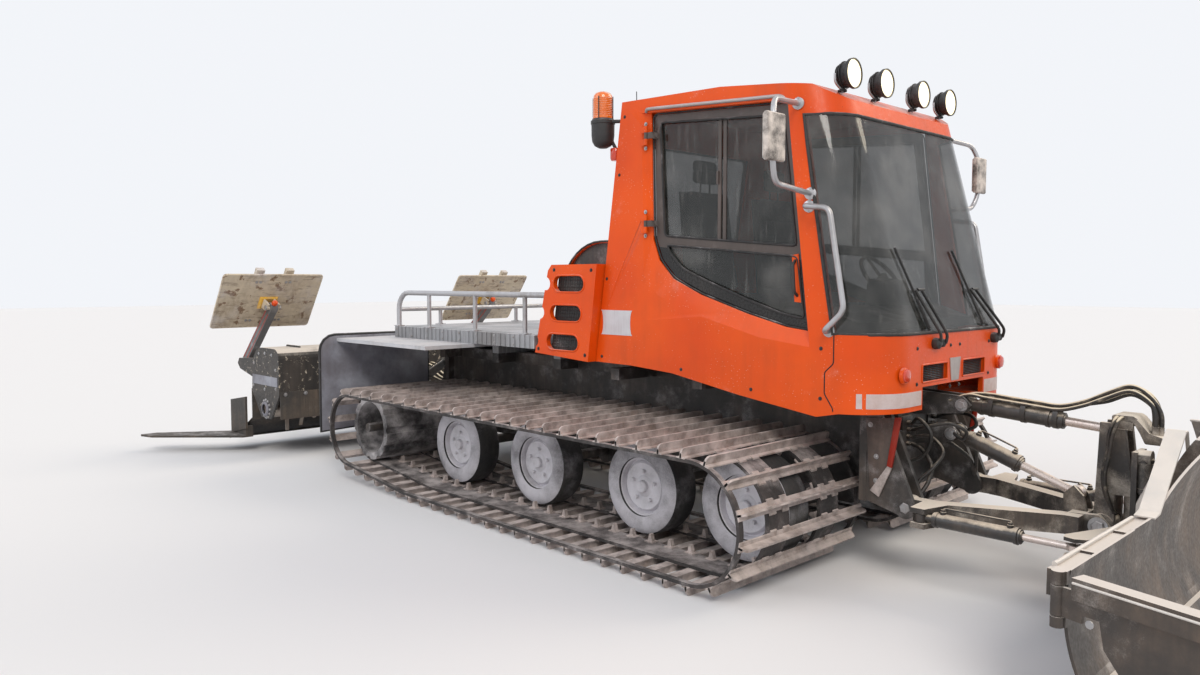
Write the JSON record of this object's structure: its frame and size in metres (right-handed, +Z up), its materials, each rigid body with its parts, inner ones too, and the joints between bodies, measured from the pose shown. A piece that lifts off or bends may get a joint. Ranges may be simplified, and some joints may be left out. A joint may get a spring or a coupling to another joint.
{
  "type": "tracked snow groomer",
  "caption": "Tracked snow grooming vehicle with glazed cab, load deck, front blade with folding wings and rear tiller with track setters.",
  "frame": {"origin": "under the middle of the whole machine, at the height of the tips of the grousers on the ground", "axes": "+X forward, the way the cab and blade face; +Y to the driver's left; +Z up"},
  "size_m": [9.0549, 4.7, 3],
  "materials": {
    "orange_paint": "gloss",
    "dark_steel": "satin",
    "grey_steel": "satin",
    "bright_steel": "satin",
    "worn_steel": "worn",
    "rod_chrome": "polished",
    "track_rubber": "matt",
    "wheel_tyre": "matt",
    "cab_glass": "clear",
    "seat_fabric": "woven",
    "flap_rubber": "matt",
    "deck_white": "satin",
    "lamp_amber": "gloss",
    "black_plastic": "matt"
  },
  "bodies": {
    "vehicle": {"chassis_frame": "dark_steel", "track_right": "track_rubber", "track_left": "track_rubber", "wheel_tyres": "wheel_tyre", "wheel_discs": "worn_steel", "drive_sprockets": "black_plastic", "engine_block": "grey_steel", "engine_hood": "dark_steel", "hood_skin": "orange_paint", "side_covers": "orange_paint", "cargo_deck": "bright_steel", "deck_railing": "bright_steel", "fenders": "deck_white", "mud_flaps": "flap_rubber", "cab_floor": "dark_steel", "cab_side_right": "orange_paint", "cab_side_left": "orange_paint", "cab_rear": "orange_paint", "cab_roof": "orange_paint", "front_panel": "orange_paint", "windshield": "cab_glass", "rear_window": "cab_glass", "seats": "seat_fabric", "dashboard": "black_plastic", "mirrors": "bright_steel", "grab_rails": "bright_steel", "work_lamps": "bright_steel", "signal_lamps": "lamp_amber", "wipers": "black_plastic"},
    "door_right_body": {"door_right": "black_plastic", "door_glass_right": "cab_glass"},
    "door_left_body": {"door_left": "black_plastic", "door_glass_left": "cab_glass"},
    "push_arms": {"push_frame": "dark_steel"},
    "lift_cylinder": {"lift_barrel": "dark_steel"},
    "lift_ram": {"lift_rod": "rod_chrome"},
    "upper_cylinder": {"upper_barrel": "dark_steel"},
    "upper_ram": {"upper_rod": "rod_chrome"},
    "mast_body": {"mast": "dark_steel"},
    "swing_cylinder_right": {"swing_barrel_right": "dark_steel"},
    "swing_ram_right": {"swing_rod_right": "rod_chrome"},
    "swing_cylinder_left": {"swing_barrel_left": "dark_steel"},
    "swing_ram_left": {"swing_rod_left": "rod_chrome"},
    "head": {"swing_head": "grey_steel"},
    "tilt_ram": {"tilt_rod": "rod_chrome"},
    "blade_body": {"blade": "dark_steel"},
    "wing_right_body": {"wing_right": "dark_steel"},
    "wing_left_body": {"wing_left": "dark_steel"},
    "tiller": {"hitch_frame": "dark_steel", "tiller_housing": "dark_steel", "finisher": "track_rubber"},
    "hitch_cylinders": {"hitch_barrels": "dark_steel"},
    "hitch_rams": {"hitch_rods": "rod_chrome"},
    "rotor": {"tiller_rotor": "worn_steel"},
    "setter_arm_right_body": {"setter_arm_right": "grey_steel"},
    "setter_arm_left_body": {"setter_arm_left": "grey_steel"},
    "setter_plate_right_body": {"setter_plate_right": "worn_steel"},
    "setter_plate_left_body": {"setter_plate_left": "worn_steel"}
  },
  "joints": [
    {"name": "blade_lift", "type": "hinge", "parent": "vehicle", "child": "push_arms", "pos_m": [2.6774, 0, 0.43], "axis": [0, -1, 0], "range_deg": [-6, 20]},
    {"name": "blade_pitch", "type": "hinge", "parent": "push_arms", "child": "mast_body", "pos_m": [3.5574, 0, 0.43], "axis": [0, -1, 0], "range_deg": [-4, 4]},
    {"name": "blade_swing", "type": "hinge", "parent": "mast_body", "child": "head", "pos_m": [3.6974, 0, 0.49], "axis": [0, 0, 1], "range_deg": [-20, 20]},
    {"name": "blade_tilt", "type": "hinge", "parent": "head", "child": "blade_body", "pos_m": [3.9074, 0, 0.48], "axis": [1, 0, 0], "range_deg": [-8, 8]},
    {"name": "wing_right_swing", "type": "hinge", "parent": "blade_body", "child": "wing_right_body", "pos_m": [3.9074, -1.73, 0.54], "axis": [0, 0, -1], "range_deg": [-15, 59]},
    {"name": "wing_left_swing", "type": "hinge", "parent": "blade_body", "child": "wing_left_body", "pos_m": [3.9074, 1.73, 0.54], "axis": [0, 0, 1], "range_deg": [-15, 59]},
    {"name": "lift_cylinder_turn", "type": "hinge", "parent": "vehicle", "child": "lift_cylinder", "pos_m": [2.7374, 0, 0.81], "axis": [0, -1, 0], "range_deg": [-7.24, 20.62]},
    {"name": "lift_cylinder_stroke", "type": "slide", "parent": "lift_cylinder", "child": "lift_ram", "axis": [0.9369, 0, -0.3496], "range_m": [-0.1374, 0.044]},
    {"name": "upper_cylinder_turn", "type": "hinge", "parent": "vehicle", "child": "upper_cylinder", "pos_m": [2.7974, 0, 0.985], "axis": [0, -1, 0], "range_deg": [-8.88, 26.1]},
    {"name": "upper_cylinder_stroke", "type": "slide", "parent": "upper_cylinder", "child": "upper_ram", "axis": [0.9973, 0, -0.0741], "range_m": [-0.1927, 0.0606]},
    {"name": "swing_cylinder_right_turn", "type": "hinge", "parent": "push_arms", "child": "swing_cylinder_right", "pos_m": [2.8174, -0.59, 0.425], "axis": [0, 0, 1], "range_deg": [-6, 6]},
    {"name": "swing_cylinder_right_stroke", "type": "slide", "parent": "swing_cylinder_right", "child": "swing_ram_right", "axis": [1, 0, 0], "range_m": [-0.205, 0.205]},
    {"name": "swing_cylinder_left_turn", "type": "hinge", "parent": "push_arms", "child": "swing_cylinder_left", "pos_m": [2.8174, 0.59, 0.425], "axis": [0, 0, 1], "range_deg": [-6, 6]},
    {"name": "swing_cylinder_left_stroke", "type": "slide", "parent": "swing_cylinder_left", "child": "swing_ram_left", "axis": [1, 0, 0], "range_m": [-0.205, 0.205]},
    {"name": "tilt_cylinder_stroke", "type": "slide", "parent": "head", "child": "tilt_ram", "axis": [0, 0, 1], "range_m": [-0.029, 0.029]},
    {"name": "tiller_lift", "type": "hinge", "parent": "vehicle", "child": "tiller", "pos_m": [-2.1576, 0, 0.48], "axis": [0, 1, 0], "range_deg": [-5, 25]},
    {"name": "hitch_cylinder_turn", "type": "hinge", "parent": "vehicle", "child": "hitch_cylinders", "pos_m": [-2.2126, 0, 0.95], "axis": [0, 1, 0], "range_deg": [-5.9, 23.49]},
    {"name": "hitch_cylinder_stroke", "type": "slide", "parent": "hitch_cylinders", "child": "hitch_rams", "axis": [-0.9076, 0, -0.4199], "range_m": [-0.2063, 0.0445]},
    {"name": "rotor_spin", "type": "hinge", "parent": "tiller", "child": "rotor", "pos_m": [-3.3626, 0, 0.47], "axis": [0, 1, 0], "continuous": true},
    {"name": "setter_arm_right_lift", "type": "hinge", "parent": "tiller", "child": "setter_arm_right_body", "pos_m": [-4.3326, -1.35, 0.84], "axis": [0, -1, 0], "range_deg": [0, 165]},
    {"name": "setter_plate_right_pitch", "type": "hinge", "parent": "setter_arm_right_body", "child": "setter_plate_right_body", "pos_m": [-3.6426, -1.35, 1.44], "axis": [0, -1, 0], "range_deg": [-60, 0]},
    {"name": "setter_arm_left_lift", "type": "hinge", "parent": "tiller", "child": "setter_arm_left_body", "pos_m": [-4.3326, 1.35, 0.84], "axis": [0, -1, 0], "range_deg": [0, 165]},
    {"name": "setter_plate_left_pitch", "type": "hinge", "parent": "setter_arm_left_body", "child": "setter_plate_left_body", "pos_m": [-3.6426, 1.35, 1.44], "axis": [0, -1, 0], "range_deg": [-60, 0]},
    {"name": "door_right_open", "type": "hinge", "parent": "vehicle", "child": "door_right_body", "pos_m": [1.0174, -0.866, 2.365], "axis": [0, 0, -1], "range_deg": [0, 75]},
    {"name": "door_left_open", "type": "hinge", "parent": "vehicle", "child": "door_left_body", "pos_m": [1.0174, 0.866, 2.365], "axis": [0, 0, 1], "range_deg": [0, 75]}
  ],
  "couplings": [
    {"joint": "lift_cylinder_turn", "follows": "blade_lift", "ratio": 0.95623},
    {"joint": "lift_cylinder_stroke", "follows": "blade_lift", "m_per_rad": -0.38202},
    {"joint": "upper_cylinder_turn", "follows": "blade_lift", "ratio": 1.2299},
    {"joint": "upper_cylinder_stroke", "follows": "blade_lift", "m_per_rad": -0.54051},
    {"joint": "swing_cylinder_right_turn", "follows": "blade_swing", "ratio": 0.17},
    {"joint": "swing_cylinder_right_stroke", "follows": "blade_swing", "m_per_rad": 0.572},
    {"joint": "swing_cylinder_left_turn", "follows": "blade_swing", "ratio": -0.17},
    {"joint": "swing_cylinder_left_stroke", "follows": "blade_swing", "m_per_rad": -0.572},
    {"joint": "tilt_cylinder_stroke", "follows": "blade_tilt", "m_per_rad": -0.19},
    {"joint": "hitch_cylinder_turn", "follows": "tiller_lift", "ratio": 0.87972},
    {"joint": "hitch_cylinder_stroke", "follows": "tiller_lift", "m_per_rad": -0.46365}
  ]
}
